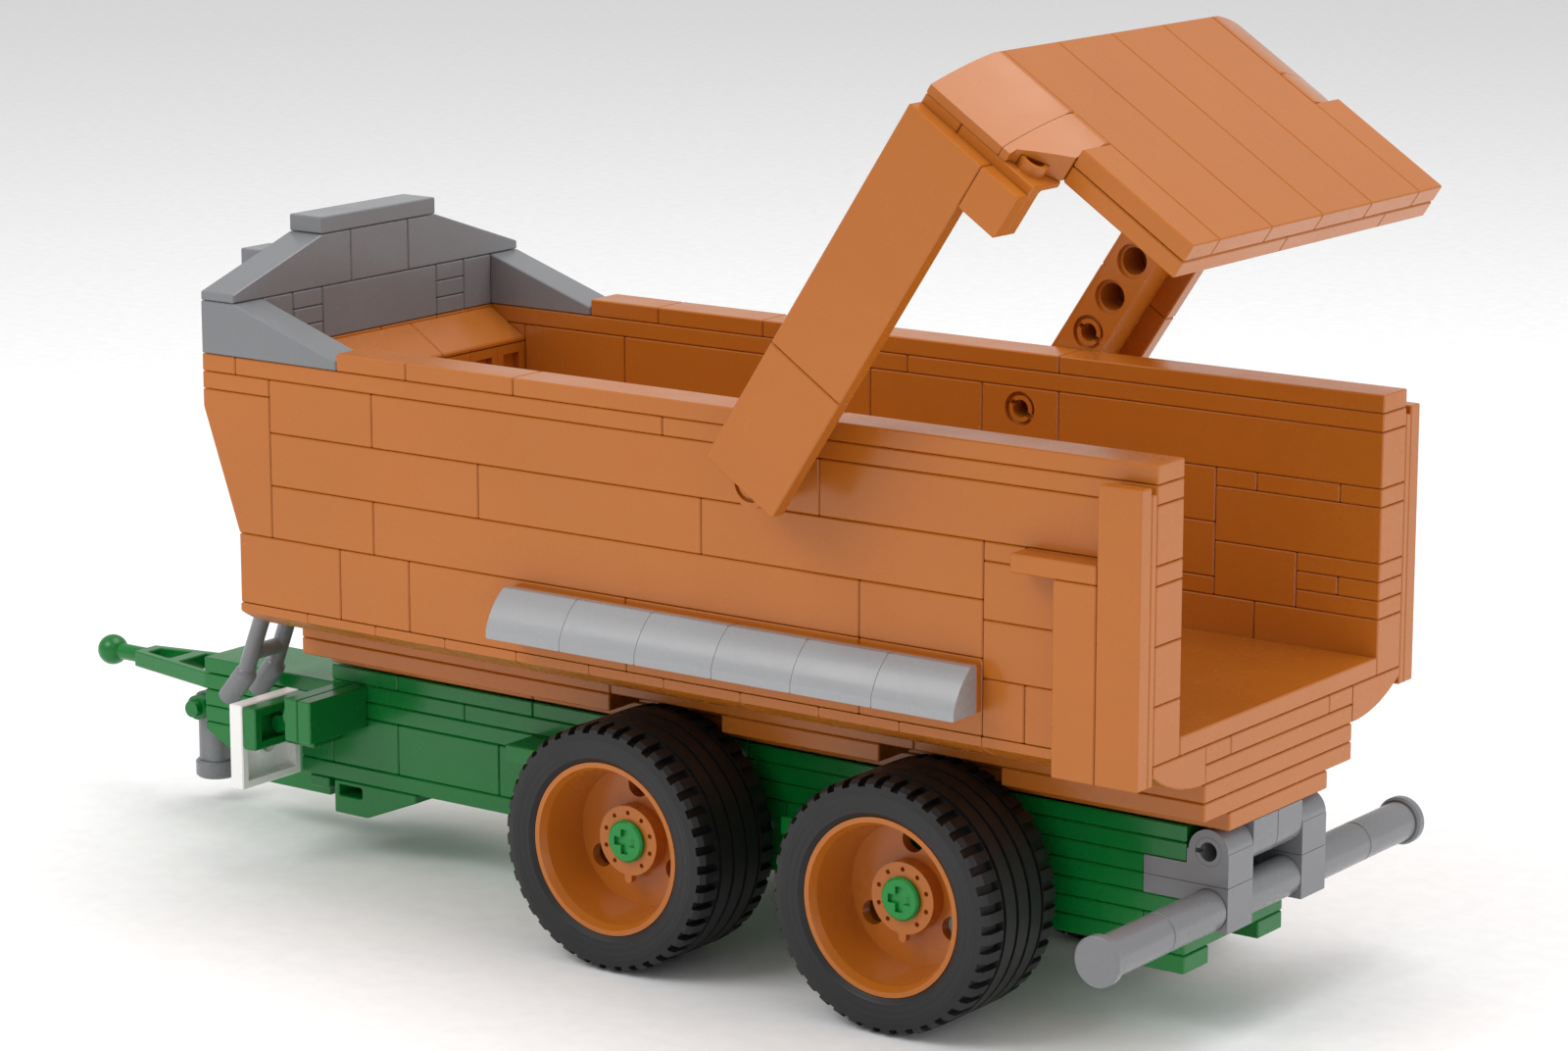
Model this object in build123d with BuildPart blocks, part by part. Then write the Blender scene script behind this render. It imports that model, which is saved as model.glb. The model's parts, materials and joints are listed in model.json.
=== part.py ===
"""Toy tipping farm trailer built from plastic bricks, as separate pieces.

Millimetres. +X points to the rear of the trailer, +Y to its right side, +Z up.
The origin is on the ground, under the middle of the whole trailer with its gate open.

Heights on the tub and the chassis are counted in plates down from the top of the wall,
lengths in studs back from the front of the tub.
"""
import os
from math import cos, radians, sin

from build123d import *

# Brick system
stud = 8.0  # pitch of the studs
plate = 3.2  # height of one plate
seam = 0.05  # each brick stops this far inside its grid cell
edge_break = 0.22  # chamfer on moulded edges
lip = 1.6  # thin edge that a slope or curved slope ends in
body_gap = 0.3  # between pieces that move past each other

# Overall sizes
tub_studs = 25  # length of the tub
half_width = 40.0  # middle of the tub to the outside of its wall
wall = 8.0  # wall thickness
floor_row = 13  # plates from the top of the wall down to the floor
hull_row = 19  # plates from the top of the wall down to the bottom of the tub

# Wheels
tyre_radius = 21.6
tyre_width = 22.0
rim_radius = 15.2
rim_width = 20.0
wheel_inset = 8.8  # middle of a tyre inside the tub's outer face
tyre_gap = 14.0  # between the front and the rear tyre
rear_axle_from_end = 50.8  # tub's rear face to the rear axle
bay_row = 17  # plates from the top of the wall down to the hull over the tyres
bay_clearance = 0.4  # between the tyres and the hull over them
axle_radius = 2.38
running_fit = 0.06  # radial clearance of a shaft in its hole

# Gate
arm_studs = 9
arm_width = 16.0
beam_studs = 5.5  # pin beam's length behind the pivot
gate_open = 56.6  # degrees that the arms stand up from level
gate_drop = 48.0  # length of the gate down the back of the tub
gate_stand_off = 8.0  # outside of the gate beyond the tub's rear face, when closed
pin_radius = 2.4

# Chassis and front end
neck_half = 8.0
neck_front = -32.0  # from the front of the tub
ball_x = -64.0
ball_radius = 3.0

# Derived places
tub_length = tub_studs * stud
pivot_from_front = tub_length - arm_studs * stud
arm_angle = radians(gate_open)
gate_reach = arm_studs * stud + gate_stand_off
rear_most = (
    pivot_from_front + gate_reach * cos(arm_angle) + (gate_drop - arm_width / 2) * sin(arm_angle)
)
front_x = -(rear_most + ball_x - ball_radius) / 2
axle_drop = bay_row * plate + bay_clearance + tyre_radius  # top of the wall down to the axles
rim_z = axle_drop + tyre_radius
hull_half = half_width - 2 * stud
chassis_half = half_width - 3 * stud
wheel_y = half_width - wheel_inset


def at(studs):
    """X of a place counted in studs back from the front of the tub."""
    return front_x + studs * stud


def down(plates):
    """Z of a place counted in plates down from the top of the wall."""
    return rim_z - plates * plate


def side_plane(y):
    """The XZ plane at a given y. Its normal is -Y."""
    return Plane.XZ.offset(-y)


def save(piece, name):
    piece.label = name
    export_step(piece, f"parts/{name}.step")


def grid_cell(low_a, high_a, low_b, high_b):
    """Rectangle that fills a grid cell of the sketch, less the seam."""
    with Locations(((low_a + high_a) / 2, (low_b + high_b) / 2)):
        Rectangle(high_a - low_a - 2 * seam, high_b - low_b - 2 * seam)


def course(joints, low_row, high_row):
    """One course of bricks in a side view, with its upright joints counted in studs."""
    for start, end in zip(joints, joints[1:]):
        grid_cell(at(start), at(end), down(high_row), down(low_row))


os.makedirs("parts", exist_ok=True)

pivot_x = front_x + pivot_from_front
pivot_z = rim_z - 7.1
inner = half_width - wall
axle_z = rim_z - axle_drop
rear_axle_x = at(tub_studs) - rear_axle_from_end
axle_xs = (rear_axle_x - 2 * tyre_radius - tyre_gap, rear_axle_x)
sides = (("left", -1), ("right", 1))

# ---------------------------------------------------------------- chassis
tip_x = at(tub_studs) - 3.9  # tipping hinge
tip_z = down(hull_row) - 4.0
boss_radius = 3.7
bumper_x = tip_x + 0.2
bumper_z = tip_z - 9.7
bumper_radius = 3.5
chassis_end = tub_studs - 1

chassis_courses = (
    (hull_row + body_gap / plate, 20, (1, 3, 7, 13, 19, chassis_end)),
    (20, 21, (1, 5, 11, 17, chassis_end)),
    (21, 22, (1, 2, 7, 15, chassis_end - 1)),
    (22, 25, (1, 3, 6, 10, 14, 20)),
    (22, 23, (20, chassis_end - 1)),
    (23, 24, (20, chassis_end)),
    (24, 25, (20, chassis_end - 1, chassis_end)),
    (25, 26, (0, 7, 13, 19, chassis_end)),
)
with BuildPart() as chassis_rows:
    with BuildSketch(side_plane(chassis_half)):
        for top_row, bottom_row, joints in chassis_courses:
            course(joints, top_row, bottom_row)
        grid_cell(at(0), at(1), down(25), down(22))
    extrude(amount=2 * chassis_half)
    chamfer(chassis_rows.edges(), edge_break)
    with BuildSketch(side_plane(chassis_half)):
        with Locations([(x, axle_z) for x in axle_xs]):
            Circle(axle_radius + seam)
    extrude(amount=2 * chassis_half, mode=Mode.SUBTRACT)
save(chassis_rows.part, "chassis_rows")

before_wheels = axle_xs[0] - tyre_radius - 0.8 * stud
between_wheels = sum(axle_xs) / 2 + stud / 2

# Short plates that stand out beside the wheels, and the blocks under the frame
with BuildPart() as frame_blocks:
    for sign in (-1, 1):
        for end, top_row in ((before_wheels, 21), (between_wheels, 22)):
            with BuildSketch(Plane.XY.offset(down(top_row + 1) + seam)):
                sides_y = sorted((sign * chassis_half, sign * (chassis_half + stud)))
                grid_cell(end - stud, end, *sides_y)
            extrude(amount=plate - 2 * seam)
        with BuildSketch(side_plane(sign * (chassis_half - stud / 2) + stud / 2 - seam)):
            grid_cell(at(chassis_end - 2), at(chassis_end), down(27), down(26))
            with BuildLine():
                Polyline(
                    (at(1) + seam, down(26) - seam),
                    (at(1) + seam, down(28)),
                    (at(2), down(28)),
                    (at(3.5), down(26) - lip),
                    (at(3.5), down(26) - seam),
                    close=True,
                )
            make_face()
            grid_cell(at(0.25), at(0.85), down(26.7), down(26))
            with Locations((at(1.5), down(26.6))):
                Rectangle(0.7 * stud, 2.0, mode=Mode.SUBTRACT)
        extrude(amount=stud - 2 * seam)
    chamfer(frame_blocks.edges(), edge_break)
save(frame_blocks.part, "frame_blocks")

# ---------------------------------------------------------------- neck and drawbar
neck_x = front_x + neck_front
with BuildPart() as neck_deck:
    with BuildSketch(Plane.XY.offset(down(22) + 4 * seam)):
        grid_cell(neck_x, at(1), -neck_half, neck_half)
    extrude(amount=plate - 5 * seam)
    chamfer(neck_deck.edges(), edge_break)
save(neck_deck.part, "neck_deck")

with BuildPart() as neck_blocks:
    with BuildSketch(side_plane(neck_half - seam)):
        grid_cell(neck_x, at(0), down(24), down(23))
        grid_cell(neck_x, at(0), down(25), down(24))
        with BuildLine():
            Polyline(
                (neck_x + seam, down(25) - seam),
                (at(0) - seam, down(25) - seam),
                (at(0) - seam, down(28)),
                (neck_x + 2 * stud, down(28)),
                (neck_x + seam, down(25) - lip),
                close=True,
            )
        make_face()
    extrude(amount=2 * (neck_half - seam))
    chamfer(neck_blocks.edges(), edge_break)
save(neck_blocks.part, "neck_blocks")

drawbar_tip = neck_x - 23.3
tip_half = 3.0
rail = 1.7
web_front = neck_x - 13.6
web_back = neck_x - 10.5
drawbar_back = at(0) - seam


def rail_half(x):
    """Half the width of the tapering drawbar at x."""
    return tip_half + (neck_half - 0.3 - tip_half) * (x - drawbar_tip) / (neck_x - drawbar_tip)


with BuildPart() as drawbar:
    with BuildSketch(Plane.XY.offset(down(23) + seam)):
        with BuildLine():
            Polyline(
                (drawbar_tip, -tip_half),
                (neck_x, -rail_half(neck_x)),
                (drawbar_back, -rail_half(neck_x)),
                (drawbar_back, rail_half(neck_x)),
                (neck_x, rail_half(neck_x)),
                (drawbar_tip, tip_half),
                close=True,
            )
        make_face()
        for start, end in ((drawbar_tip + 2.6, web_front), (web_back, neck_x - 0.8)):
            with BuildLine():
                Polyline(
                    (start, -rail_half(start) + rail),
                    (end, -rail_half(end) + rail),
                    (end, rail_half(end) - rail),
                    (start, rail_half(start) - rail),
                    close=True,
                )
            make_face(mode=Mode.SUBTRACT)
    extrude(amount=plate - 2 * seam)
    chamfer(drawbar.edges(), edge_break)
    with BuildSketch(Plane.YZ.offset(drawbar_tip + 0.5)):
        with Locations((0, down(22.5))):
            Circle(1.6)
    extrude(amount=front_x + ball_x - drawbar_tip - 0.5)
    with Locations((front_x + ball_x, 0, down(22.5))):
        Sphere(ball_radius)
save(drawbar.part, "drawbar")

# ---------------------------------------------------------------- parking jack
jack_x = neck_x - 4.6
jack_z = down(25) + 1.4
jack_pin_radius = 1.6
with BuildPart() as jack_bracket:
    with BuildSketch(side_plane(neck_half - seam)):
        with Locations((jack_x, jack_z)):
            Circle(2.9)
        with Locations(((jack_x + neck_x) / 2, jack_z)):
            Rectangle(neck_x - jack_x - 2 * seam, 5.8)
        with Locations((jack_x, jack_z)):
            Circle(jack_pin_radius + seam, mode=Mode.SUBTRACT)
    extrude(amount=4.0)
save(jack_bracket.part, "jack_bracket")

with BuildPart() as jack_pin:
    with BuildSketch(side_plane(neck_half + 0.6)):
        with Locations((jack_x, jack_z)):
            Circle(jack_pin_radius)
    extrude(amount=2 * neck_half - 0.4)
    with BuildSketch(side_plane(-3.9)):
        with Locations((jack_x, jack_z)):
            Circle(2.4)
    extrude(amount=1.6)
save(jack_pin.part, "jack_pin")

leg_half = 3.1
leg_top = jack_z - 2.6
leg_bottom = jack_z - 11.2
foot_height = 3.4
with BuildPart() as jack_leg:
    with BuildSketch(Plane.XY.offset(leg_bottom)):
        with Locations((jack_x, 0)):
            RectangleRounded(2 * leg_half, 2 * leg_half, 0.72 * leg_half)
    extrude(amount=leg_top - leg_bottom)
    with BuildSketch(side_plane(3.3)):
        with Locations((jack_x, jack_z)):
            Circle(2.9)
        with Locations((jack_x, jack_z - 1.5)):
            Rectangle(5.8, 3.0)
        with Locations((jack_x, jack_z)):
            Circle(jack_pin_radius + running_fit, mode=Mode.SUBTRACT)
    extrude(amount=6.6)
save(jack_leg.part, "jack_leg")

with BuildPart() as jack_foot:
    with BuildSketch(Plane.XY.offset(leg_bottom - foot_height)):
        with Locations((jack_x, 0)):
            Circle(leg_half + 1.1)
    extrude(amount=foot_height - seam)
    chamfer(jack_foot.edges(), 0.4)
save(jack_foot.part, "jack_foot")

# ---------------------------------------------------------------- marker board, near side only
board_x = at(0)
board_y = -chassis_half - stud
board_z = down(21) - stud
with BuildPart() as marker_board:
    with BuildSketch(Plane.YZ.offset(board_x - plate)):
        with Locations((board_y, board_z)):
            Rectangle(2 * stud, 2 * stud)
    extrude(amount=plate - seam)
    chamfer(marker_board.edges(), edge_break)
    with BuildSketch(Plane.YZ.offset(board_x)):
        with Locations((board_y, board_z)):
            Rectangle(2 * stud - 3, 2 * stud - 3)
    extrude(amount=-2.2, mode=Mode.SUBTRACT)
    with BuildSketch(Plane.YZ.offset(board_x - 2.3)):
        with Locations((board_y, board_z)):
            Circle(3.2)
            Circle(2.4, mode=Mode.SUBTRACT)
    extrude(amount=1.6)
    with BuildSketch(Plane.YZ.offset(board_x)):
        with Locations((board_y, board_z)):
            Circle(1.4)
    extrude(amount=-plate, mode=Mode.SUBTRACT)
save(marker_board.part, "marker_board")

block_high = down(21) - 0.1
clamp_x = at(1.3)
with BuildPart() as board_bracket:
    with BuildSketch(Plane.YZ.offset(board_x + seam)):
        grid_cell(-chassis_half - 2 * stud, -chassis_half, block_high - stud, block_high)
    extrude(amount=plate)
    for layer in range(2):
        with BuildSketch(Plane.YZ.offset(clamp_x + layer * plate + seam)):
            grid_cell(
                -chassis_half - 2 * stud, -chassis_half, down(20) - stud, down(20)
            )
        extrude(amount=plate - 2 * seam)
    with BuildSketch(Plane.YZ.offset(board_x + plate + 3 * seam)):
        grid_cell(-chassis_half - stud, -chassis_half, block_high - stud, down(20) - plate)
    extrude(amount=clamp_x - board_x - plate - 4 * seam)
    chamfer(board_bracket.edges(), edge_break)
    with BuildSketch(Plane.YZ.offset(board_x + plate + seam)):
        with Locations((-chassis_half - 1.4 * stud, block_high - stud / 2)):
            Rectangle(6.0, 4.8)
    extrude(amount=-2.2, mode=Mode.SUBTRACT)
    with BuildSketch(side_plane(-chassis_half - stud + seam)):
        with Locations((board_x + plate, block_high - stud / 2)):
            Circle(lip)
    extrude(amount=1.8)
    with BuildSketch(Plane.YZ.offset(clamp_x + plate / 2)):
        with Locations((-chassis_half - 1.5 * stud, down(20) - stud / 2)):
            Circle(pin_radius)
    extrude(amount=-plate / 2 - lip)
save(board_bracket.part, "board_bracket")

# ---------------------------------------------------------------- rear brackets and bumper
with BuildPart() as rear_brackets:
    for sign in (-1, 1):
        with BuildSketch(side_plane(sign * 1.5 * stud + stud / 2 - seam)):
            with Locations((tip_x, tip_z)):
                Circle(boss_radius)
            with Locations((at(chassis_end + 0.5), (tip_z + bumper_z - bumper_radius) / 2)):
                Rectangle(stud - 4 * seam, tip_z - bumper_z + bumper_radius)
            low_z, high_z = down(23) + seam, down(21) - seam
            with Locations(((at(chassis_end - 1) + tip_x) / 2 + seam, (low_z + high_z) / 2)):
                Rectangle(tip_x - at(chassis_end - 1), high_z - low_z)
            with Locations((tip_x, tip_z)):
                Circle(pin_radius + seam, mode=Mode.SUBTRACT)
            with Locations((bumper_x, bumper_z)):
                Circle(bumper_radius + seam, mode=Mode.SUBTRACT)
        extrude(amount=stud - 2 * seam)
    with BuildSketch(Plane.XY.offset(down(22) - seam)):
        with Locations((tip_x, 0)):
            Rectangle(3 * stud, 4 * stud + 1)
    extrude(amount=2 * seam, mode=Mode.SUBTRACT)
save(rear_brackets.part, "rear_brackets")

bumper_half = half_width + stud
with BuildPart() as bumper_bar:
    bumper_joints = (-bumper_half, -inner, -2 * stud, 2 * stud, inner, bumper_half)
    for start, end in zip(bumper_joints, bumper_joints[1:]):
        with BuildSketch(side_plane(end - seam)):
            with Locations((bumper_x, bumper_z)):
                Circle(bumper_radius)
        extrude(amount=end - start - 2 * seam)
    chamfer(bumper_bar.edges(), edge_break)
    with BuildSketch(Plane.XY.offset(bumper_z - bumper_radius - 1)):
        for sign in (-1, 1):
            for middle in (3, 5):
                with Locations((bumper_x, sign * middle * stud)):
                    SlotOverall(6.0, 1.2, rotation=90)
    extrude(amount=1.8, mode=Mode.SUBTRACT)
save(bumper_bar.part, "bumper_bar")

with BuildPart() as bumper_caps:
    for sign in (-1, 1):
        with BuildSketch(side_plane(sign * (bumper_half + 1.1) + 1.1 - seam)):
            with Locations((bumper_x, bumper_z)):
                Circle(bumper_radius + 0.7)
        extrude(amount=2.2 - 2 * seam)
    chamfer(bumper_caps.edges(), 0.4)
save(bumper_caps.part, "bumper_caps")

with BuildPart() as tipping_pins:
    for sign in (-1, 1):
        with BuildSketch(side_plane(sign * stud + stud - seam)):
            with Locations((tip_x, tip_z)):
                Circle(pin_radius)
                Circle(pin_radius - 0.8, mode=Mode.SUBTRACT)
        extrude(amount=2 * stud - 2 * seam)
        with BuildSketch(side_plane(sign * (2 * stud - lip / 2) + lip / 2 + seam)):
            with Locations((tip_x - pin_radius + 0.2, tip_z)):
                Rectangle(1.6, 0.8)
        extrude(amount=lip, mode=Mode.SUBTRACT)
save(tipping_pins.part, "tipping_pins")

# ---------------------------------------------------------------- axles and wheels
hub_face = wheel_y + rim_width / 2 - 6.6  # outside of the bolt flange
axle_end = hub_face - 0.8
with BuildPart() as axles:
    with BuildSketch(side_plane(axle_end)):
        with Locations([(x, axle_z) for x in axle_xs]):
            Circle(axle_radius)
    extrude(amount=2 * axle_end)
save(axles.part, "axles")

rim_inside = wheel_y - rim_width / 2
with BuildPart() as axle_bushes:
    bush_length = rim_inside - body_gap - chassis_half - seam
    for sign in (-1, 1):
        middle = sign * (chassis_half + seam + bush_length / 2)
        with BuildSketch(side_plane(middle + bush_length / 2)):
            with Locations([(x, axle_z) for x in axle_xs]):
                Circle(3.6)
                Circle(axle_radius + seam, mode=Mode.SUBTRACT)
        extrude(amount=bush_length)
save(axle_bushes.part, "axle_bushes")

# Wheel pieces are drawn round the Z axis, with z = 0 at the outer edge of the rim
# and z falling towards the trailer, then turned on to their axles.
barrel_radius = rim_radius - 1.3
flange_depth = wheel_y + rim_width / 2 - hub_face
web_depth = 9.6
web_thick = 2.0
flange_radius = 6.15
dish_radius = rim_radius - 2.9
bolt_count = 9
bolt_circle = 4.95
with BuildPart() as rim:
    with BuildSketch(Plane.XZ):
        with BuildLine():
            Polyline(
                (axle_radius + running_fit, -flange_depth),
                (flange_radius, -flange_depth),
                (flange_radius, -web_depth),
                (dish_radius, -web_depth),
                (dish_radius + 0.6, -6.0),
                (dish_radius + 1.3, -1.4),
                (dish_radius + 2.0, 0),
                (rim_radius, 0),
                (rim_radius, -1.5),
                (barrel_radius, -2.6),
                (barrel_radius, -rim_width + 2.6),
                (rim_radius, -rim_width + 1.5),
                (rim_radius, -rim_width),
                (rim_radius - 1.2, -rim_width),
                (dish_radius + 0.5, -rim_width + 2.0),
                (dish_radius, -web_depth - web_thick),
                (4.2, -web_depth - web_thick),
                (4.2, -rim_width),
                (axle_radius + running_fit, -rim_width),
                close=True,
            )
        make_face()
    revolve(axis=Axis.Z)
    with BuildSketch(Plane.XY.offset(-web_depth)):
        with PolarLocations((flange_radius + dish_radius) / 2, 3, start_angle=90):
            Circle(2.1)
    extrude(amount=-web_thick, mode=Mode.SUBTRACT)
    with BuildSketch(Plane.XY.offset(-flange_depth)):
        with PolarLocations(bolt_circle, bolt_count, start_angle=-54, angular_range=360 * 0.9):
            Circle(0.42)
    extrude(amount=-0.8, mode=Mode.SUBTRACT)
    with BuildSketch(Plane.XY.offset(-flange_depth)):
        with Locations((0, -6.3)):
            SlotOverall(2.6, 1.5, rotation=90)
    extrude(amount=-1.2)

tread_top = 0.5 * (tyre_width - rim_width)
tread_bottom = -rim_width - tread_top
groove = 0.9
bead_fit = 0.15
lug_count = 40
notch = 1.5
with BuildPart() as tyre:
    with BuildSketch(Plane.XZ):
        with BuildLine():
            outside = tyre_radius
            Polyline(
                (rim_radius + bead_fit, tread_top - 1.0),
                (rim_radius + 0.9, tread_top - 0.3),
                (outside - 2.4, tread_top),
                (outside - 0.7, tread_top - 0.4),
                (outside - 0.1, tread_top - 1.4),
                (outside, tread_top - 3.0),
                (outside, tread_bottom + 3.0),
                (outside - 0.1, tread_bottom + 1.4),
                (outside - 0.7, tread_bottom + 0.4),
                (outside - 2.4, tread_bottom),
                (rim_radius + 0.9, tread_bottom + 0.3),
                (rim_radius + bead_fit, tread_bottom + 1.0),
                (rim_radius + bead_fit, -rim_width + 1.5 + bead_fit),
                (barrel_radius + bead_fit, -rim_width + 2.6 + 2 * bead_fit),
                (barrel_radius + bead_fit, -2.6 - 2 * bead_fit),
                (rim_radius + bead_fit, -1.5 - bead_fit),
                close=True,
            )
        make_face()
        tread_middle = (tread_top + tread_bottom) / 2
        for offset_z in (-5.55, -1.85, 1.85, 5.55):
            with Locations((outside, tread_middle + offset_z)):
                Rectangle(2 * groove, 0.8, mode=Mode.SUBTRACT)
    revolve(axis=Axis.Z)
    with BuildSketch(Plane.XY.offset(tread_top)):
        with PolarLocations(outside, lug_count):
            Rectangle(2.4, notch)
    extrude(amount=-4.9, mode=Mode.SUBTRACT)
    with BuildSketch(Plane.XY.offset(tread_bottom)):
        with PolarLocations(outside, lug_count):
            Rectangle(2.4, notch)
    extrude(amount=4.9, mode=Mode.SUBTRACT)

with BuildPart() as hub_cap:
    with BuildSketch(Plane.XY.offset(-flange_depth + seam)):
        Circle(3.7)
    extrude(amount=1.0)
    chamfer(hub_cap.edges().group_by(Axis.Z)[-1], 0.35)
    with BuildSketch(Plane.XY.offset(-flange_depth + seam + 1.0)):
        Rectangle(4.4, 1.5)
        Rectangle(1.5, 4.4)
    extrude(amount=-0.7, mode=Mode.SUBTRACT)

for side, sign in sides:
    for end, axle_x in zip(("front", "rear"), axle_xs):
        outer_edge = sign * (wheel_y + rim_width / 2)
        place = Plane(origin=(axle_x, outer_edge, axle_z), x_dir=(1, 0, 0), z_dir=(0, sign, 0))
        for piece, name in ((rim, "rim"), (tyre, "tyre"), (hub_cap, "hub_cap")):
            save(place.location * piece.part, f"{name}_{end}_{side}")

# ---------------------------------------------------------------- tub: floor and hull
with BuildPart() as tub_floor:
    with BuildSketch(side_plane(inner - seam)):
        course((1, 9, 17, tub_studs), floor_row, floor_row + 1)
    extrude(amount=2 * (inner - seam))
    chamfer(tub_floor.edges(), edge_break)
save(tub_floor.part, "tub_floor")

bay_reach = 0.56 * tyre_radius
bays = [  # the hull is narrower here, over the tyres; places in studs
    ((x - bay_reach - front_x) / stud, (x + bay_reach - front_x) / stud) for x in axle_xs
]
with BuildPart() as tub_hull:
    with BuildSketch(side_plane(hull_half - seam)):
        course((1, 5, 13, 19, tub_studs), 15, 16)
        course((1, 10, 18, tub_studs), 16, 17)
        course((1, bays[0][0]), 17, 18)
        course((bays[0][1], bays[1][0]), 17, 18)
        course((bays[1][1], tub_studs), 17, 18)
    extrude(amount=2 * (hull_half - seam))
    for outer, inner_y in ((-hull_half, -chassis_half), (chassis_half, hull_half)):
        with BuildSketch(side_plane(inner_y - seam)):
            course((1, 8, 16, tub_studs), 14, 15)
        extrude(amount=inner_y - outer - 2 * seam)
    with BuildSketch(side_plane(chassis_half - seam)):
        course((1, 11, 20, tub_studs), 14, 15)
        course(bays[0], 17, 18)
        course(bays[1], 17, 18)
        course((1, 7, 13, 19, tub_studs), 18, hull_row)
    extrude(amount=2 * (chassis_half - seam))
    chamfer(tub_hull.edges(), edge_break)
save(tub_hull.part, "tub_hull")

# Rounded lower edges: a row of upside-down curved slopes on each side
edge_top = down(14) - seam
edge_bottom = down(16) + seam
for side, sign in sides:
    with BuildPart() as lower_edge:
        for start in range(1, tub_studs, 2):
            end = min(start + 2, tub_studs)
            with BuildSketch(Plane.YZ.offset(at(start) + seam)):
                with BuildLine():
                    Polyline(
                        (sign * (half_width - seam), edge_top - lip),
                        (sign * (half_width - seam), edge_top),
                        (sign * (hull_half + seam), edge_top),
                        (sign * (hull_half + seam), edge_bottom),
                        (sign * (hull_half + 2.0), edge_bottom),
                    )
                    ThreePointArc(
                        (sign * (hull_half + 2.0), edge_bottom),
                        (sign * (hull_half + 9.6), edge_bottom + 1.5),
                        (sign * (half_width - seam), edge_top - lip),
                    )
                make_face()
            extrude(amount=(end - start) * stud - 2 * seam)
        chamfer(lower_edge.edges().filter_by(Axis.Y), edge_break)
    save(lower_edge.part, f"lower_edge_{side}")

# ---------------------------------------------------------------- tub: side walls
slope_top = 3
slope_end = 10
wall_end = tub_studs
pivot_stud = pivot_from_front / stud
left_courses = (
    (0, 1, (0, 1, 13, wall_end)),
    (1, 2, (0, 2)),
    (1, 4, (2, 5, pivot_stud - 1)),
    (1, 4, (pivot_stud + 1, wall_end)),
    (4, 7, (2, 8, 14, wall_end - 4)),
    (7, 10, (2, 5, wall_end - 7, wall_end - 4)),
    (10, 14, (4, 6, 12, 18, wall_end - 4)),
    (4, 5, (wall_end - 4, wall_end - 3, wall_end)),
    (5, 8, (wall_end - 4, wall_end)),
    (8, 11, (wall_end - 4, wall_end)),
    (11, 14, (wall_end - 4, wall_end - 3, wall_end)),
)
right_courses = (
    (0, 1, (0, 1, 13, wall_end)),
    (1, 2, (0, 2)),
    (1, 4, (2, 5, 12, pivot_stud - 1)),
    (1, 4, (pivot_stud + 1, wall_end)),
    (4, 7, (2, 8, 14, wall_end - 4)),
    (7, 10, (2, 5, 11, 18, wall_end - 4)),
    (10, 11, (4, 12, wall_end - 4)),
    (4, 5, (wall_end - 4, wall_end - 3, wall_end - 1, wall_end)),
    (5, 8, (wall_end - 4, wall_end)),
    (8, 11, (wall_end - 4, wall_end - 2)),
    (8, 9, (wall_end - 2, wall_end)),
    (9, 10, (wall_end - 2, wall_end - 1, wall_end)),
    (10, 11, (wall_end - 2, wall_end)),
    (11, 14, (4, 9, 15, wall_end - 3, wall_end)),
)
for (side, sign), courses in zip(sides, (left_courses, right_courses)):
    outer_face = side_plane(sign * half_width)
    with BuildPart() as side_panels:
        with BuildSketch(outer_face):
            for top_row, bottom_row, joints in courses:
                course(joints, top_row, bottom_row)
            with BuildLine():
                Polyline(
                    (at(0) + seam, down(2) - seam),
                    (at(2) - seam, down(2) - seam),
                    (at(2) - seam, down(slope_end) + seam),
                    (at(1) + seam, down(slope_end) + seam),
                    (at(0) + seam, down(slope_top)),
                    close=True,
                )
            make_face()
            grid_cell(at(1), at(4), down(14), down(slope_end))
        extrude(amount=sign * (wall - seam))
        chamfer(side_panels.edges(), edge_break)
    save(side_panels.part, f"side_panels_{side}")

    with BuildPart() as pivot_brick:
        with BuildSketch(outer_face):
            grid_cell(pivot_x - stud, pivot_x + stud, down(4), down(1))
        extrude(amount=sign * (wall - seam))
        chamfer(pivot_brick.edges(), edge_break)
        with BuildSketch(outer_face):
            with Locations((pivot_x, pivot_z)):
                Circle(pin_radius + running_fit)
        extrude(amount=sign * wall, mode=Mode.SUBTRACT)
        with BuildSketch(side_plane(sign * inner)):
            with Locations((pivot_x, pivot_z)):
                Circle(3.1)
        extrude(amount=-sign * 1.0, mode=Mode.SUBTRACT)
    save(pivot_brick.part, f"pivot_brick_{side}")

    with BuildPart() as rim_tiles:
        with BuildSketch(outer_face):
            course((4, 6, 9, 17, wall_end), -1, 0)
        extrude(amount=sign * (wall - seam))
        chamfer(rim_tiles.edges(), edge_break)
    save(rim_tiles.part, f"rim_tiles_{side}")

    # Sideways curved slopes along the wall, on a backing strip
    step_start = 9
    step_top = down(10.25)
    step_low = down(12.75)
    with BuildPart() as side_steps:
        for start in range(step_start, step_start + 12, 2):
            with BuildSketch(Plane.YZ.offset(at(start) + seam)):
                with BuildLine():
                    back = sign * (half_width + lip + seam)
                    Polyline(
                        (sign * (half_width + lip + 1.5), step_top),
                        (back, step_top),
                        (back, step_low),
                        (sign * (half_width + lip + 6.4), step_low),
                        (sign * (half_width + lip + 6.4), step_low + lip),
                    )
                    ThreePointArc(
                        (sign * (half_width + lip + 6.4), step_low + lip),
                        (sign * (half_width + lip + 4.5), step_low + 5.2),
                        (sign * (half_width + lip + 1.5), step_top),
                    )
                make_face()
            extrude(amount=2 * stud - 2 * seam)
        chamfer(side_steps.edges().filter_by(Axis.Y), edge_break)
    save(side_steps.part, f"side_steps_{side}")

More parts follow.
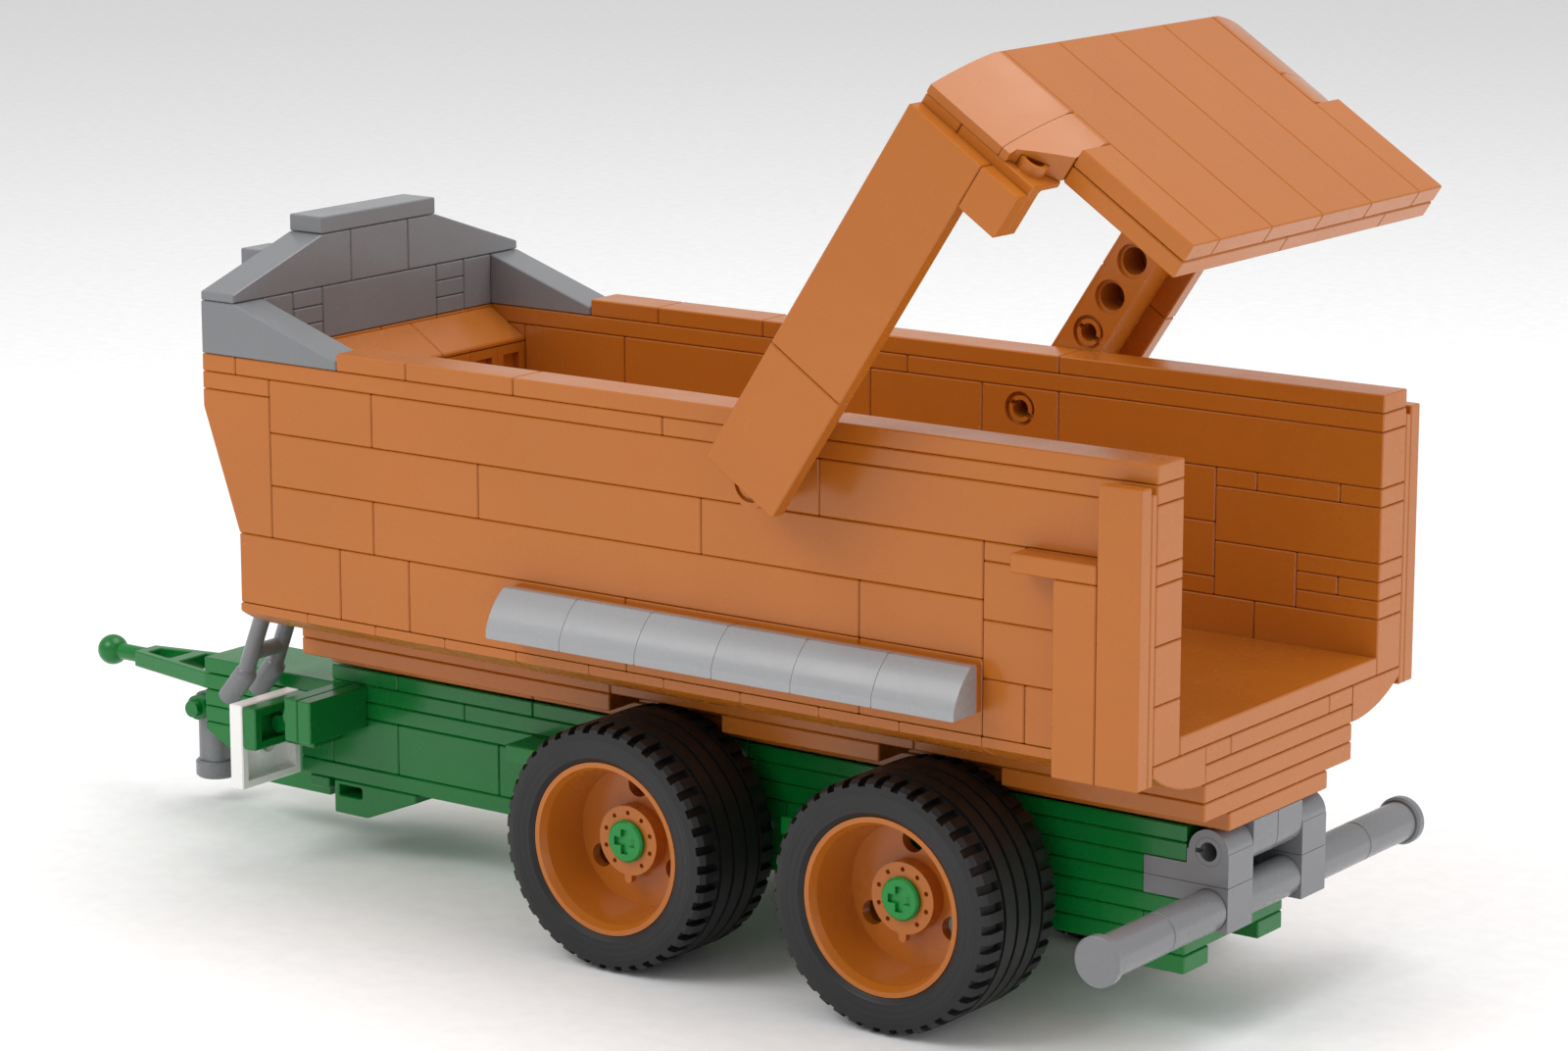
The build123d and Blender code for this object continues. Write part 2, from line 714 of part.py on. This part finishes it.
with BuildPart() as step_rails:
    for sign in (-1, 1):
        with BuildSketch(side_plane(sign * (half_width + seam))):
            for start in (9, 15):
                grid_cell(at(start), at(start + 6), step_low, step_top)
        extrude(amount=-sign * (lip - seam))
    chamfer(step_rails.edges(), edge_break)
save(step_rails.part, "step_rails")

# Upright tiles on brackets at the rear corners
post_reach = 4.8
with BuildPart() as rear_posts:
    for sign in (-1, 1):
        with BuildSketch(side_plane(sign * (half_width + seam))):
            grid_cell(at(wall_end - 1), at(wall_end), down(15), down(0.4))
            grid_cell(at(wall_end - 2), at(wall_end - 1), down(15), down(5))
        extrude(amount=-sign * (lip - seam))
        with BuildSketch(side_plane(sign * (half_width + lip + seam))):
            grid_cell(at(wall_end - 1), at(wall_end), down(15), down(0))
            grid_cell(at(wall_end - 2), at(wall_end - 1), down(15), down(5))
        extrude(amount=-sign * (post_reach - lip - 2 * seam))
        with BuildSketch(side_plane(sign * (half_width + seam))):
            grid_cell(at(wall_end - 3), at(wall_end - 1), down(5), down(4))
        extrude(amount=-sign * (post_reach - 2 * seam))
    chamfer(rear_posts.edges(), edge_break)
save(rear_posts.part, "rear_posts")

# ---------------------------------------------------------------- tub: front wall and chute
chute_low = 8  # row where the recessed bricks end
slope_run = stud / (slope_end - slope_top)
with BuildPart() as front_wall:
    for y_start in range(-4, 4, 2):
        with BuildSketch(side_plane((y_start + 2) * inner / 4 - seam)):
            grid_cell(at(0), at(1), down(slope_top), down(0))
            with BuildLine():
                Polyline(
                    (at(0) + seam, down(slope_top) - seam),
                    (at(1) - seam, down(slope_top) - seam),
                    (at(1) + (chute_low - slope_top) * slope_run, down(chute_low)),
                    (at(2) - seam, down(chute_low)),
                    (at(2) - seam, down(floor_row) + seam),
                    (at(1) + seam, down(floor_row) + seam),
                    (at(1) + seam, down(slope_end)),
                    close=True,
                )
            make_face()
        extrude(amount=inner / 2 - 2 * seam)
    chamfer(front_wall.edges(), edge_break)
save(front_wall.part, "front_wall")

chute_joints = (-4, -2, 1, 4)
with BuildPart() as chute_slopes:
    for start, end in zip(chute_joints, chute_joints[1:]):
        with BuildSketch(side_plane(end * inner / 4 - seam)):
            with BuildLine():
                Polyline(
                    (at(1) + seam, down(2) + seam),
                    (at(2) - seam, down(2) + seam),
                    (at(2) - seam, down(2) + 0.9),
                    (at(1) + seam, down(0) - 0.4),
                    close=True,
                )
            make_face()
        extrude(amount=(end - start) * inner / 4 - 2 * seam)
    chamfer(chute_slopes.edges(), edge_break)
save(chute_slopes.part, "chute_slopes")

# Bricks with a square recess under the chute, flush with its lower edge and cut to the
# slope of the front wall behind them


def behind_slope(row):
    """X just behind the sloping front wall at a row of the tub."""
    return at(1) + 3 * seam + max(0, row - slope_top) * slope_run


with BuildPart() as chute_wall:
    for column in range(-4, 4):
        with BuildSketch(side_plane((column + 1) * inner / 4 - seam)):
            for top_row, kink_row, low_row in ((2, slope_top, 5), (5, 6, chute_low)):
                with BuildLine():
                    Polyline(
                        (behind_slope(top_row), down(top_row) - seam),
                        (at(2) - seam, down(top_row) - seam),
                        (at(2) - seam, down(low_row) + seam),
                        (behind_slope(low_row), down(low_row) + seam),
                        (behind_slope(kink_row), down(kink_row)),
                        close=True,
                    )
                make_face()
        extrude(amount=inner / 4 - 2 * seam)
    with BuildSketch(Plane.YZ.offset(at(2))):
        for column in range(-4, 4):
            for middle in (3.5, 6.5):
                with Locations(((column + 0.5) * inner / 4, down(middle))):
                    Rectangle(4.6, 6.0)
    extrude(amount=-1.5, mode=Mode.SUBTRACT)
save(chute_wall.part, "chute_wall")

# ---------------------------------------------------------------- headboard
board_height = 3  # plates in each storey of the headboard
with BuildPart() as headboard_wings:
    for sign in (-1, 1):
        with BuildSketch(side_plane(sign * half_width)):
            with BuildLine():
                Polyline(
                    (at(0) + seam, down(0) + seam),
                    (at(4) - seam, down(0) + seam),
                    (at(4) - seam, down(0) + lip),
                    (at(1), down(-board_height) - seam),
                    (at(0) + seam, down(-board_height) - seam),
                    close=True,
                )
            make_face()
        extrude(amount=sign * (wall - seam))
    chamfer(headboard_wings.edges(), edge_break)
save(headboard_wings.part, "headboard_wings")

with BuildPart() as headboard_row:
    with BuildSketch(Plane.YZ.offset(at(0) + seam)):
        for sign in (-1, 1):
            ends = sorted((sign * inner, sign * (inner - stud)))
            grid_cell(*ends, down(0), down(-board_height))
            ends = sorted((sign * (inner - stud), sign * (inner - 2 * stud)))
            for layer in range(board_height):
                grid_cell(*ends, down(-layer), down(-layer - 1))
        grid_cell(-(inner - 2 * stud), inner - 2 * stud, down(0), down(-board_height))
    extrude(amount=stud - 2 * seam)
    with BuildSketch(Plane.YZ.offset(at(0) - 4.8)):
        grid_cell(-inner + stud, -inner + 2 * stud, down(-2.2), down(-5.2))
        grid_cell(inner - 2 * stud, inner - stud, down(-2.2), down(-5.2))
    extrude(amount=4.8 - seam)
    chamfer(headboard_row.edges(), edge_break)
save(headboard_row.part, "headboard_row")

with BuildPart() as headboard_crest:
    with BuildSketch(Plane.YZ.offset(at(0) + seam)):
        grid_cell(-stud, stud, down(-board_height), down(-2 * board_height))
        for sign in (-1, 1):
            with BuildLine():
                Polyline(
                    (sign * (stud + seam), down(-board_height) + seam),
                    (sign * (half_width - seam), down(-board_height) + seam),
                    (sign * (half_width - seam), down(-board_height) + lip),
                    (sign * 2 * stud, down(-2 * board_height) - seam),
                    (sign * (stud + seam), down(-2 * board_height) - seam),
                    close=True,
                )
            make_face()
    extrude(amount=stud - 2 * seam)
    chamfer(headboard_crest.edges(), edge_break)
save(headboard_crest.part, "headboard_crest")

with BuildPart() as crest_tile:
    with BuildSketch(Plane.XY.offset(down(-2 * board_height) + seam)):
        grid_cell(at(0), at(1), -2 * stud, 2 * stud)
    extrude(amount=plate - 2 * seam)
    chamfer(crest_tile.edges(), edge_break)
save(crest_tile.part, "crest_tile")

# ---------------------------------------------------------------- ladder at the front
ladder_bar = 1.6  # radius of the two stiles
ladder_top = (at(-0.14), down(14) + 1.8)
ladder_knee = (at(-1.25), down(20.3))
ladder_toe = (at(-1.8), down(21.9))
ladder_ys = (-2.5 * stud, -1.5 * stud)
rung_radius = 1.5
clip_half = 2.1
rung_places = [
    (
        ladder_top[0] + share * (ladder_knee[0] - ladder_top[0]),
        ladder_top[1] + share * (ladder_knee[1] - ladder_top[1]),
    )
    for share in (0.08, 0.8)
]
with BuildPart() as front_ladder:
    for y in ladder_ys:
        for start, end, radius in (
            (ladder_top, ladder_knee, ladder_bar),
            (ladder_knee, ladder_toe, ladder_bar + 0.5),
        ):
            start_point = Vector(start[0], y, start[1])
            along = Vector(end[0], y, end[1]) - start_point
            with BuildSketch(Plane(origin=start_point, z_dir=along)):
                Circle(radius)
            extrude(amount=along.length)
        with Locations((ladder_knee[0], y, ladder_knee[1])):
            Sphere(ladder_bar + 0.5)
    with BuildSketch(side_plane(ladder_ys[1])):
        with Locations(rung_places):
            Circle(rung_radius)
    extrude(amount=ladder_ys[1] - ladder_ys[0])
save(front_ladder.part, "front_ladder")

with BuildPart() as ladder_bracket:
    with BuildSketch(side_plane((ladder_ys[0] + ladder_ys[1]) / 2 + clip_half)):
        with Locations(rung_places[0]):
            Circle(rung_radius + 1.4)
        with Locations(((rung_places[0][0] + at(1) - seam) / 2, rung_places[0][1])):
            Rectangle(at(1) - seam - rung_places[0][0], plate)
        with Locations(rung_places[0]):
            Circle(rung_radius + seam, mode=Mode.SUBTRACT)
    extrude(amount=2 * clip_half)
save(ladder_bracket.part, "ladder_bracket")

# ---------------------------------------------------------------- tipping hinge ears
with BuildPart() as hinge_ears:
    for sign in (-1, 1):
        with BuildSketch(side_plane(sign * stud / 2 + stud / 2 - 2 * seam)):
            with Locations((tip_x, tip_z)):
                Circle(boss_radius)
            with Locations((tip_x, (tip_z + down(hull_row)) / 2)):
                Rectangle(2 * boss_radius, down(hull_row) - tip_z)
            with Locations((tip_x, tip_z)):
                Circle(pin_radius + running_fit, mode=Mode.SUBTRACT)
        extrude(amount=stud - 4 * seam)
save(hinge_ears.part, "hinge_ears")

# ---------------------------------------------------------------- gate
# The gate is drawn in the frame of its arms: a runs along the arms from the pivot,
# b across them, down the back of the tub when the gate is closed.
along_arm = Vector(cos(arm_angle), 0, sin(arm_angle))
across_arm = Vector(sin(arm_angle), 0, -cos(arm_angle))
arm_half = arm_width / 2
arm_length = arm_studs * stud
beam_inner = half_width + body_gap
tile_inner = half_width + stud


def arm_plane(y):
    """Plane across the trailer at y, with x along the arms and y across them."""
    origin = Vector(pivot_x, y, pivot_z)
    return Plane(origin=origin, x_dir=along_arm, z_dir=along_arm.cross(across_arm))


def gate_plane(along):
    """Plane of the gate at a distance along the arms: x is the trailer's y, y goes down."""
    origin = Vector(pivot_x, 0, pivot_z) + along_arm * along
    return Plane(origin=origin, x_dir=(0, 1, 0), z_dir=Vector(0, 1, 0).cross(across_arm))


outward = 1 if gate_plane(0).z_dir.dot(along_arm) > 0 else -1
toward_right = 1 if arm_plane(0).z_dir.Y > 0 else -1

with BuildPart() as arm_beams:
    for sign in (-1, 1):
        with BuildSketch(arm_plane(sign * beam_inner)):
            with Locations((beam_studs * stud / 2, 0)):
                SlotOverall(beam_studs * stud + stud, stud - 2 * seam)
            for hole in range(6):
                with Locations((hole * stud, 0)):
                    Circle(pin_radius + seam, mode=Mode.SUBTRACT)
        extrude(amount=sign * toward_right * (tile_inner - beam_inner - seam))
        for face_y in (beam_inner, tile_inner - seam - 0.8):
            with BuildSketch(arm_plane(sign * face_y)):
                for hole in range(6):
                    with Locations((hole * stud, 0)):
                        Circle(3.1)
            extrude(amount=sign * toward_right * 0.8, mode=Mode.SUBTRACT)
save(arm_beams.part, "arm_beams")

with BuildPart() as arm_tiles:
    for sign in (-1, 1):
        with BuildSketch(arm_plane(sign * tile_inner)):
            grid_cell(0, 3 * stud, -arm_half, arm_half)
            grid_cell(3 * stud, arm_length, -arm_half, arm_half)
            grid_cell(arm_length - stud, arm_length, arm_half, arm_half + stud)
        extrude(amount=sign * toward_right * plate)
    chamfer(arm_tiles.edges(), edge_break)
save(arm_tiles.part, "arm_tiles")

gate_inside = gate_reach - 2 * plate  # face of the gate's inner layer
bracket_low = arm_length + body_gap
ring_y = half_width + stud / 2  # open stud left bare beside each lower cap
ring_drop = arm_half + stud / 2
ring_radius = 2.4
ring_height = 1.7
with BuildPart() as gate_brackets:
    for sign in (-1, 1):
        bracket_inner = half_width + post_reach + body_gap
        for start, end in ((-arm_half, 0), (0, arm_half + stud)):
            with BuildSketch(gate_plane(bracket_low)):
                ends = sorted((sign * half_width, sign * tile_inner))
                grid_cell(*ends, start, end)
            extrude(amount=outward * (gate_inside - bracket_low - seam))
            with BuildSketch(gate_plane(arm_length - stud)):
                ends = sorted((sign * bracket_inner, sign * tile_inner))
                grid_cell(*ends, start, end)
            extrude(amount=outward * (gate_inside - arm_length + stud - seam))
    chamfer(gate_brackets.edges(), edge_break)
    with BuildSketch(gate_plane(gate_inside - lip / 2)):
        for sign in (-1, 1):
            with Locations((sign * ring_y, ring_drop)):
                Circle(ring_radius)
                Circle(ring_radius - 0.8, mode=Mode.SUBTRACT)
    extrude(amount=outward * (lip / 2 + ring_height))
save(gate_brackets.part, "gate_brackets")

gate_low = gate_drop - arm_half
lower_start = arm_half + stud
with BuildPart() as gate_inner_plates:
    with BuildSketch(gate_plane(gate_inside)):
        grid_cell(-inner, 0, -arm_half, lower_start)
        grid_cell(0, inner, -arm_half, lower_start)
        for start in (-half_width, -half_width / 5, half_width * 3 / 5):
            end = min(start + half_width * 4 / 5, half_width)
            grid_cell(start, end, lower_start, gate_low)
    extrude(amount=outward * (plate - 3 * seam))
    chamfer(gate_inner_plates.edges(), edge_break)
save(gate_inner_plates.part, "gate_inner_plates")

with BuildPart() as gate_strips:
    with BuildSketch(gate_plane(gate_inside + plate)):
        for number in range(4):
            start = -inner + number * inner / 2
            grid_cell(start, start + inner / 2, -arm_half, gate_low)
        for sign in (-1, 1):
            ends = sorted((sign * inner, sign * half_width))
            grid_cell(*ends, lower_start, gate_low)
    extrude(amount=outward * plate)
    chamfer(gate_strips.edges(), edge_break)
save(gate_strips.part, "gate_strips")

# Curved caps at the top corners; the lower one tapers in to the edge of the gate
cap_reach = 2 * stud
cap_drop = 2 * plate
with BuildPart() as gate_caps:
    for sign in (-1, 1):
        for start, length in ((-arm_half, arm_width), (arm_half, stud)):
            cap_start = Vector(pivot_x, sign * inner, pivot_z) + across_arm * (start + seam)
            cap_start += along_arm * gate_inside
            profile = Plane(origin=cap_start, x_dir=(0, sign, 0), z_dir=-across_arm * sign)
            up = 1 if profile.y_dir.dot(along_arm) > 0 else -1
            with BuildSketch(profile):
                with BuildLine():
                    Polyline(
                        (cap_reach - seam, up * lip),
                        (cap_reach - seam, up * seam),
                        (seam, up * seam),
                        (seam, up * cap_drop),
                        (1.0, up * cap_drop),
                    )
                    ThreePointArc(
                        (1.0, up * cap_drop),
                        (cap_reach / 2, up * (cap_drop - 1.7)),
                        (cap_reach - seam, up * lip),
                    )
                make_face()
            extrude(amount=-sign * (length - 2 * seam))
        with BuildSketch(gate_plane(gate_inside - 1)):
            with BuildLine():
                outer_y = sign * (half_width + stud + 1)
                Polyline(
                    (outer_y, arm_half + 1.6),
                    (sign * (half_width + stud - 1.5), arm_half + 1.6),
                    (sign * (half_width - seam), lower_start + 0.2),
                    (outer_y, lower_start + 0.2),
                    close=True,
                )
            make_face()
        extrude(amount=outward * (cap_drop + 2), mode=Mode.SUBTRACT)
    with BuildSketch(gate_plane(gate_inside - 1)):
        with Locations([(sign * ring_y, ring_drop) for sign in (-1, 1)]):
            Circle(ring_radius + 2 * seam)
    extrude(amount=outward * (1 + ring_height + 2 * seam), mode=Mode.SUBTRACT)
    chamfer(gate_caps.edges().filter_by(GeomType.LINE).filter_by(Axis.Y), edge_break)
save(gate_caps.part, "gate_caps")

# Hollow pins: the pivots in the walls, and one more in each beam
with BuildPart() as gate_pins:
    for sign in (-1, 1):
        for hole, first in ((0, inner + 0.4), (2, beam_inner + 0.2)):
            with BuildSketch(arm_plane(sign * first)):
                with Locations((hole * stud, 0)):
                    Circle(pin_radius)
                    Circle(pin_radius - 0.8, mode=Mode.SUBTRACT)
                    if sign > 0:
                        Rectangle(1.0, 2 * pin_radius + 1, mode=Mode.SUBTRACT)
            extrude(amount=sign * toward_right * 2.0)
            with BuildSketch(arm_plane(sign * (first + 2.0))):
                with Locations((hole * stud, 0)):
                    Circle(pin_radius)
                    Circle(pin_radius - 0.8, mode=Mode.SUBTRACT)
            extrude(amount=sign * toward_right * (tile_inner - first - 2.0 - 2 * seam))
save(gate_pins.part, "gate_pins")
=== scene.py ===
"""Looks of the brick-built tipping trailer: materials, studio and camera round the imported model."""
import json
import math

import bpy
from mathutils import Matrix, Vector


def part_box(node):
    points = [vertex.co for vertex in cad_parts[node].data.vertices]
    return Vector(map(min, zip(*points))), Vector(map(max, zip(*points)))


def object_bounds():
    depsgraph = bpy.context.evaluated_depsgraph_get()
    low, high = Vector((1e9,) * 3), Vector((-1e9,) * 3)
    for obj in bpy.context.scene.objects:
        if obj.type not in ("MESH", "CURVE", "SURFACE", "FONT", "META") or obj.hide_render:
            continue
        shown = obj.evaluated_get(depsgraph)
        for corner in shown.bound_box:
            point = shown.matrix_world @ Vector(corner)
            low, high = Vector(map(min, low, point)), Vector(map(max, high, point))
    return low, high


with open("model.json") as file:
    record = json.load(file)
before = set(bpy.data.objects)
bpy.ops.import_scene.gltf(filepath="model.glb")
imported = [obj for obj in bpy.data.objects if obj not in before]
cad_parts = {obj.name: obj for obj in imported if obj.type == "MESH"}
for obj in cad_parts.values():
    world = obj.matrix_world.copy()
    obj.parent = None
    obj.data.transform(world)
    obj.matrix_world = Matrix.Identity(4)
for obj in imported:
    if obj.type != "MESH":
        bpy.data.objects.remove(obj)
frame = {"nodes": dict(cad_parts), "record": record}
cad_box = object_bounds()
nodes = frame["nodes"]


ring_rate = 5200.0  # radians of the moulded ring pattern per metre of radius
sidewall_reach = 0.0192  # metres; the rings stop here, before the tread
floor_reach = 6.0
floor_drop = 0.0002  # the floor lies just below the wheels, so it never shares a face with them
light_on_object = 0.62  # strength of the world as it lights the part and the floor
light_to_camera = 1.0  # strength of the world where the camera sees it past the floor


def linear(red, green, blue):
    """An sRGB colour, 0 to 255, as the linear colour that shaders take."""
    values = []
    for value in (red, green, blue):
        share = value / 255
        if share <= 0.04045:
            values.append(share / 12.92)
        else:
            values.append(((share + 0.055) / 1.055) ** 2.4)
    return tuple(values) + (1.0,)


def shade(colour, factor):
    return tuple(min(1.0, part * factor) for part in colour[:3]) + (1.0,)


# ---------------------------------------------------------------- materials
class Nodes:
    """A small helper that adds shader nodes to one material."""

    def __init__(self, name):
        self.material = bpy.data.materials.new(name)
        self.material.use_nodes = True
        self.tree = self.material.node_tree
        self.shader = self.tree.nodes["Principled BSDF"]
        self.place = self.add("ShaderNodeTexCoord").outputs["Object"]

    def add(self, kind, **settings):
        node = self.tree.nodes.new(kind)
        for key, value in settings.items():
            setattr(node, key, value)
        return node

    def link(self, source, target):
        self.tree.links.new(source, target)

    def noise(self, scale, detail=2.0, rough=0.5, place=None):
        node = self.add("ShaderNodeTexNoise")
        node.inputs["Scale"].default_value = scale
        node.inputs["Detail"].default_value = detail
        node.inputs["Roughness"].default_value = rough
        self.link(place or self.place, node.inputs["Vector"])
        return node.outputs["Fac"]

    def ramp(self, source, stops):
        node = self.add("ShaderNodeValToRGB")
        while len(node.color_ramp.elements) < len(stops):
            node.color_ramp.elements.new(0.5)
        for element, (position, colour) in zip(node.color_ramp.elements, stops):
            element.position = position
            element.color = colour
        self.link(source, node.inputs["Fac"])
        return node.outputs["Color"]

    def span(self, source, low, high, start=0.3, end=0.7):
        node = self.add("ShaderNodeMapRange")
        node.inputs["From Min"].default_value = start
        node.inputs["From Max"].default_value = end
        node.inputs["To Min"].default_value = low
        node.inputs["To Max"].default_value = high
        self.link(source, node.inputs["Value"])
        return node.outputs["Result"]

    def mix(self, factor, first, second, blend="MIX"):
        node = self.add("ShaderNodeMix", data_type="RGBA", blend_type=blend)
        if isinstance(factor, float):
            node.inputs["Factor"].default_value = factor
        else:
            self.link(factor, node.inputs["Factor"])
        for value, socket in ((first, node.inputs[6]), (second, node.inputs[7])):
            if isinstance(value, tuple):
                socket.default_value = value
            else:
                self.link(value, socket)
        return node.outputs[2]

    def math(self, operation, first, second):
        node = self.add("ShaderNodeMath", operation=operation)
        for value, socket in ((first, node.inputs[0]), (second, node.inputs[1])):
            if isinstance(value, (int, float)):
                socket.default_value = value
            else:
                self.link(value, socket)
        return node.outputs[0]

    def bump(self, height, strength, distance, normal=None):
        node = self.add("ShaderNodeBump")
        node.inputs["Strength"].default_value = strength
        node.inputs["Distance"].default_value = distance
        self.link(height, node.inputs["Height"])
        if normal is not None:
            self.link(normal, node.inputs["Normal"])
        return node.outputs["Normal"]


def moulded_plastic(name, colour, gloss=0.22, spread=0.05, coat=0.06):
    """Glossy injection-moulded plastic: faint flow marks, fine pitting and a little handling haze."""
    made = Nodes(name)
    broad = made.noise(28, 3.0, 0.55)
    flow_map = made.add("ShaderNodeMapping")
    flow_map.inputs["Scale"].default_value = (35, 120, 160)
    made.link(made.place, flow_map.inputs["Vector"])
    flow = made.noise(1.0, 4.0, 0.6, flow_map.outputs["Vector"])
    tone = made.ramp(
        broad,
        (
            (0.25, shade(colour, 1 - spread)),
            (0.5, colour),
            (0.75, shade(colour, 1 + spread)),
        ),
    )
    flecked = made.mix(made.span(flow, 0.0, 0.16), tone, shade(colour, 0.86))
    made.link(flecked, made.shader.inputs["Base Color"])
    haze = made.noise(95, 5.0, 0.62)
    made.link(made.span(haze, gloss * 0.8, gloss * 1.5), made.shader.inputs["Roughness"])
    made.shader.inputs["IOR"].default_value = 1.53
    made.shader.inputs["Specular IOR Level"].default_value = 0.38
    made.shader.inputs["Coat Weight"].default_value = coat
    made.shader.inputs["Coat Roughness"].default_value = 0.06
    fine = made.noise(1500, 3.0, 0.5)
    waves = made.noise(170, 2.0, 0.4)
    normal = made.bump(fine, 0.08, 0.00002)
    made.link(made.bump(waves, 0.05, 0.00008, normal), made.shader.inputs["Normal"])
    return made.material


def tyre_rubber(name, centre):
    """Matt black rubber with moulded rings on the sidewall and light dust in its pores."""
    made = Nodes(name)
    middle = made.add("ShaderNodeVectorMath", operation="SUBTRACT")
    made.link(made.place, middle.inputs[0])
    middle.inputs[1].default_value = centre
    flat = made.add("ShaderNodeVectorMath", operation="MULTIPLY")
    made.link(middle.outputs[0], flat.inputs[0])
    flat.inputs[1].default_value = (1, 0, 1)
    reach = made.add("ShaderNodeVectorMath", operation="LENGTH")
    made.link(flat.outputs[0], reach.inputs[0])
    rings = made.math("SINE", made.math("MULTIPLY", reach.outputs["Value"], ring_rate), 0.0)
    wall = made.math("LESS_THAN", reach.outputs["Value"], sidewall_reach)
    ridges = made.math("MULTIPLY", rings, wall)
    grain = made.noise(1400, 4.0, 0.6)
    dust = made.noise(60, 4.0, 0.6)
    base = linear(19, 19, 20)
    tone = made.ramp(dust, ((0.3, shade(base, 0.85)), (0.7, shade(base, 1.35))))
    made.link(made.mix(made.span(grain, 0.0, 0.25), tone, linear(36, 35, 34)),
              made.shader.inputs["Base Color"])
    made.link(made.span(dust, 0.42, 0.6), made.shader.inputs["Roughness"])
    normal = made.bump(grain, 0.3, 0.00004)
    made.link(made.bump(ridges, 0.35, 0.00008, normal), made.shader.inputs["Normal"])
    return made.material


orange = linear(182, 103, 30)
looks = {
    "orange": moulded_plastic("plastic_orange", orange),
    "green": moulded_plastic("plastic_green", linear(6, 114, 44), spread=0.08),
    "bright_green": moulded_plastic("plastic_bright_green", linear(16, 138, 56)),
    "step_grey": moulded_plastic("plastic_light_grey", linear(158, 159, 161), spread=0.03),
    "board_grey": moulded_plastic("plastic_mid_grey", linear(123, 124, 127), spread=0.03),
    "white": moulded_plastic("plastic_white", linear(246, 245, 243), spread=0.02),
}
slots = {part["node"]: part["material_slot"] for part in frame["record"]["subparts"]}
for name, piece in nodes.items():
    slot = slots[name]
    if slot == "tyre":
        low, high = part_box(name)
        finish = tyre_rubber(name + "_rubber", tuple((low + high) / 2))
    else:
        finish = looks[slot]
    if not piece.data.materials:
        piece.data.materials.append(finish)
    for index in range(len(piece.data.materials)):
        piece.data.materials[index] = finish

# ---------------------------------------------------------------- studio
low, high = Vector(cad_box[0]), Vector(cad_box[1])
middle = (low + high) / 2

ground = bpy.data.meshes.new("studio_floor")
ground.from_pydata(
    [(x * floor_reach, y * floor_reach, 0) for x, y in ((-1, -1), (1, -1), (1, 1), (-1, 1))],
    [],
    [(0, 1, 2, 3)],
)
floor = bpy.data.objects.new("studio_floor", ground)
bpy.context.scene.collection.objects.link(floor)
floor.location = (0, 0, low.z - floor_drop)
paper = Nodes("floor_paper")
grain = paper.noise(220, 4.0, 0.6)
paper.link(
    paper.ramp(grain, ((0.35, linear(249, 249, 249)), (0.65, linear(254, 254, 254)))),
    paper.shader.inputs["Base Color"],
)
paper.shader.inputs["Roughness"].default_value = 0.9
paper.shader.inputs["Specular IOR Level"].default_value = 0.2
ground.materials.append(paper.material)

world = bpy.data.worlds.new("studio")
bpy.context.scene.world = world
world.use_nodes = True
sky = world.node_tree.nodes["Background"]
sky.inputs["Color"].default_value = (1.0, 1.0, 1.0, 1.0)
rays = world.node_tree.nodes.new("ShaderNodeLightPath")
brightness = world.node_tree.nodes.new("ShaderNodeMapRange")
brightness.inputs["To Min"].default_value = light_on_object
brightness.inputs["To Max"].default_value = light_to_camera
world.node_tree.links.new(rays.outputs["Is Camera Ray"], brightness.inputs["Value"])
world.node_tree.links.new(brightness.outputs["Result"], sky.inputs["Strength"])


def softbox(name, place, size, power):
    light = bpy.data.lights.new(name, "AREA")
    light.shape = "RECTANGLE"
    light.size, light.size_y = size
    light.energy = power
    lamp = bpy.data.objects.new(name, light)
    bpy.context.scene.collection.objects.link(lamp)
    lamp.location = place
    aim = middle - Vector(place)
    lamp.rotation_euler = aim.to_track_quat("-Z", "Y").to_euler()


softbox("key_softbox", (-0.35, -0.75, 0.85), (0.7, 0.5), 4.6)
softbox("top_softbox", (0.2, 0.25, 1.1), (0.9, 0.7), 6.0)
softbox("rear_softbox", (1.1, 0.1, 0.45), (0.5, 0.6), 2.0)
bpy.context.scene.view_settings.view_transform = "Standard"

# ---------------------------------------------------------------- camera
# The viewpoint: the camera's own axes, and its place from the tub's front and rim.
view = bpy.data.cameras.new("photo_camera")
camera = bpy.data.objects.new("photo_camera", view)
bpy.context.scene.collection.objects.link(camera)
tub_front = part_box("side_panels_left")[0].x
rim_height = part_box("side_panels_left")[1].z
right = Vector((0.80240, 0.59678, -0.00284))
up = Vector((-0.12287, 0.16986, 0.97778))
back = Vector((0.58400, -0.78422, 0.20962))
camera.matrix_world = Matrix.Translation(
    (tub_front + 0.54914, -0.62046, rim_height + 0.14064)
) @ Matrix((right, up, back)).transposed().to_4x4()
view.sensor_width = 36.0
view.lens = 103.0
view.shift_x = 0.0380
view.shift_y = -0.0084
view.clip_start = 0.01
bpy.context.scene.camera = camera
